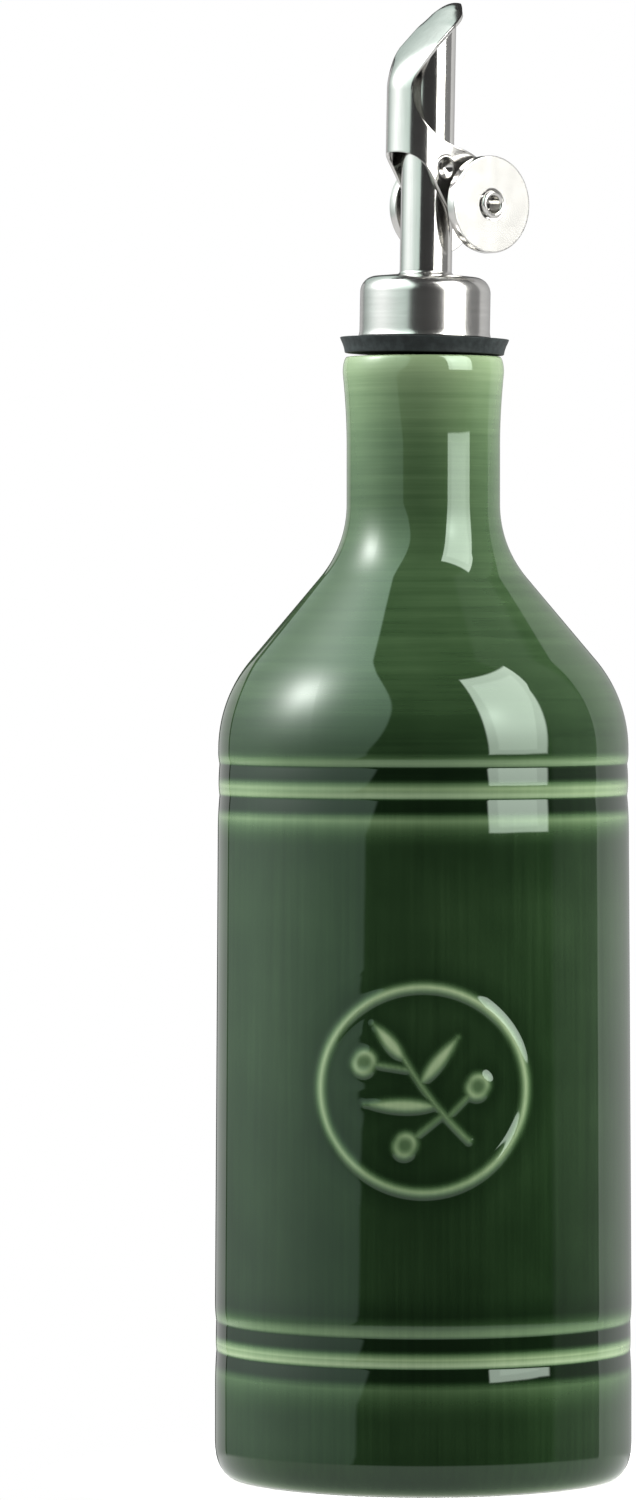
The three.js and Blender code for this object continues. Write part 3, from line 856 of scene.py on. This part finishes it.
def screenLevel(heading, azimuth, height):
    s = screen
    lift = height - s["height"]
    across = (azimuth - s["azimuth"]) * (1 / s["halfWidth"])
    up = lift.math("MAXIMUM", lift, 0.0) * (1 / s["above"])
    down = lift.math("MINIMUM", lift, 0.0) * (1 / s["below"])
    inside = 1 - (across * across + up * up + down * down).rise(1 - s["soft"], 1 + s["soft"])
    inside = inside * cardDistance(rearCard, azimuth, height).rise(*seam) * azimuth.rise(*s["end"])
    overTop = height - azimuth.rise(*s["topTurn"]) * s["topStep"]
    inside = inside * (1 - overTop.rise(*s["rearTop"]))
    frontShare = azimuth.rise(*s["rear"]) * (1 - s["rearLevel"]) + s["rearLevel"]
    cloth = (height * s["climb"] + s["level"]) * frontShare
    lit = spotLevel(heading, glow["azimuth"], glow["height"], glow["width"]) * glow["level"]
    return inside * cloth, inside * lit


def boxLevel(heading, azimuth, height):
    b = softBox
    high = height.math("MAXIMUM", height, 0.0)
    fromLeft = azimuth - (high * b["leftLean"] + b["left"])
    fromRight = (high * high * b["rightBow"] + high * b["rightLean"] + b["right"]) - azimuth
    inward = heading.math("MINIMUM", fromLeft, fromRight)
    inward = heading.math("MINIMUM", inward, b["top"] - height)
    inward = heading.math("MINIMUM", inward, (height - b["bottom"]) * b["bottomSharpness"])
    middle = inward.rise(b["border"] - b["soft"], b["border"] + b["soft"])
    cloth = middle * (1 - b["borderLevel"]) + b["borderLevel"]
    lit = spotLevel(heading, b["hotAzimuth"], b["hotHeight"], b["hotWidth"]) * b["hotLevel"] + b["level"]
    lit = lit * (height.rise(0, b["fullHeight"]) * (1 - b["lowLevel"]) + b["lowLevel"])
    return inward.rise(-b["soft"], b["soft"]) * cloth * lit


def shapeRoom():
    world = bpy.data.worlds.new("room")
    bpy.context.scene.world = world
    world.use_nodes = True
    tree = world.node_tree
    tree.nodes.clear()
    start = Wire(tree)
    heading = start.add("ShaderNodeTexCoord", {}, {}, "Generated")
    azimuth = start.math("ARCTAN2", heading.part(0), -heading.part(1)) * (180 / pi)
    height = start.math("ARCSINE", heading.part(2)) * (180 / pi)
    onScreen, inGlow = screenLevel(heading, azimuth, height)
    onBox = boxLevel(heading, azimuth, height)
    beside = azimuth.rise(*room["sideLeft"]) * (1 - azimuth.rise(*room["sideRight"]))
    onCard = cardMask(card, azimuth, height) * card["level"]
    onCard = onCard * (1 - azimuth.rise(*card["fade"]) * (1 - card["fadeLevel"]))
    plain = room["dim"] + beside * room["sideLevel"] + onCard
    plain = plain + cardMask(rearCard, azimuth, height) * rearCard["level"]
    low = 1 - height.rise(*table["edge"])
    shades = []
    for screenTint, glowTint, boxTint in zip(screen["tint"], glow["tint"], softBox["tint"]):
        above = onScreen * screenTint + inGlow * glowTint + onBox * boxTint + plain
        shades.append(above + low * (table["level"] - above))
    mirrored = start.add("ShaderNodeCombineColor", {}, dict(enumerate(shades)))
    studio = start.add("ShaderNodeBackground", {}, {"Color": mirrored})
    white = {"Color": (1.0, 1.0, 1.0, 1.0), "Strength": room["pale"]}
    seen = start.add("ShaderNodeBackground", {}, white)
    isCamera = start.add("ShaderNodeLightPath", {}, {}, "Is Camera Ray")
    both = start.add("ShaderNodeMixShader", {}, {0: isCamera, 1: studio, 2: seen})
    output = tree.nodes.new("ShaderNodeOutputWorld")
    tree.links.new(both.socket, output.inputs["Surface"])


shapeRoom()


# Side lamps for the glaze; they light every diffuse surface and don't show in reflections

fill = {"left": (-100, 15, 10.5), "right": (100, 15, 9.0), "soft": 50}  # azimuth, height, strength


def sideLamp(name, azimuth, height, strength):
    lamp = bpy.data.lights.new(name, "SUN")
    lamp.energy = strength
    lamp.angle = radians(fill["soft"])
    holder = bpy.data.objects.new(name, lamp)
    bpy.context.scene.collection.objects.link(holder)
    holder.rotation_euler = (radians(90 - height), 0, radians(azimuth))
    holder.visible_glossy = False


sideLamp("leftFill", *fill["left"])
sideLamp("rightFill", *fill["right"])
print("floor, room and lamps ready")


# Camera at the photograph's place

view = {"place": (0, -1.439, 0.1642), "target": (-0.0202, 0, 0.1393), "lens": 180.0, "sensor": 36.0}
camera = bpy.data.cameras.new("camera")
camera.lens = view["lens"]
camera.sensor_width = view["sensor"]
cameraHolder = bpy.data.objects.new("camera", camera)
bpy.context.scene.collection.objects.link(cameraHolder)
cameraHolder.location = view["place"]
aim = Vector(view["target"]) - Vector(view["place"])
cameraHolder.rotation_euler = aim.to_track_quat("-Z", "Y").to_euler()
bpy.context.scene.camera = cameraHolder
bpy.context.scene.view_settings.view_transform = "Standard"
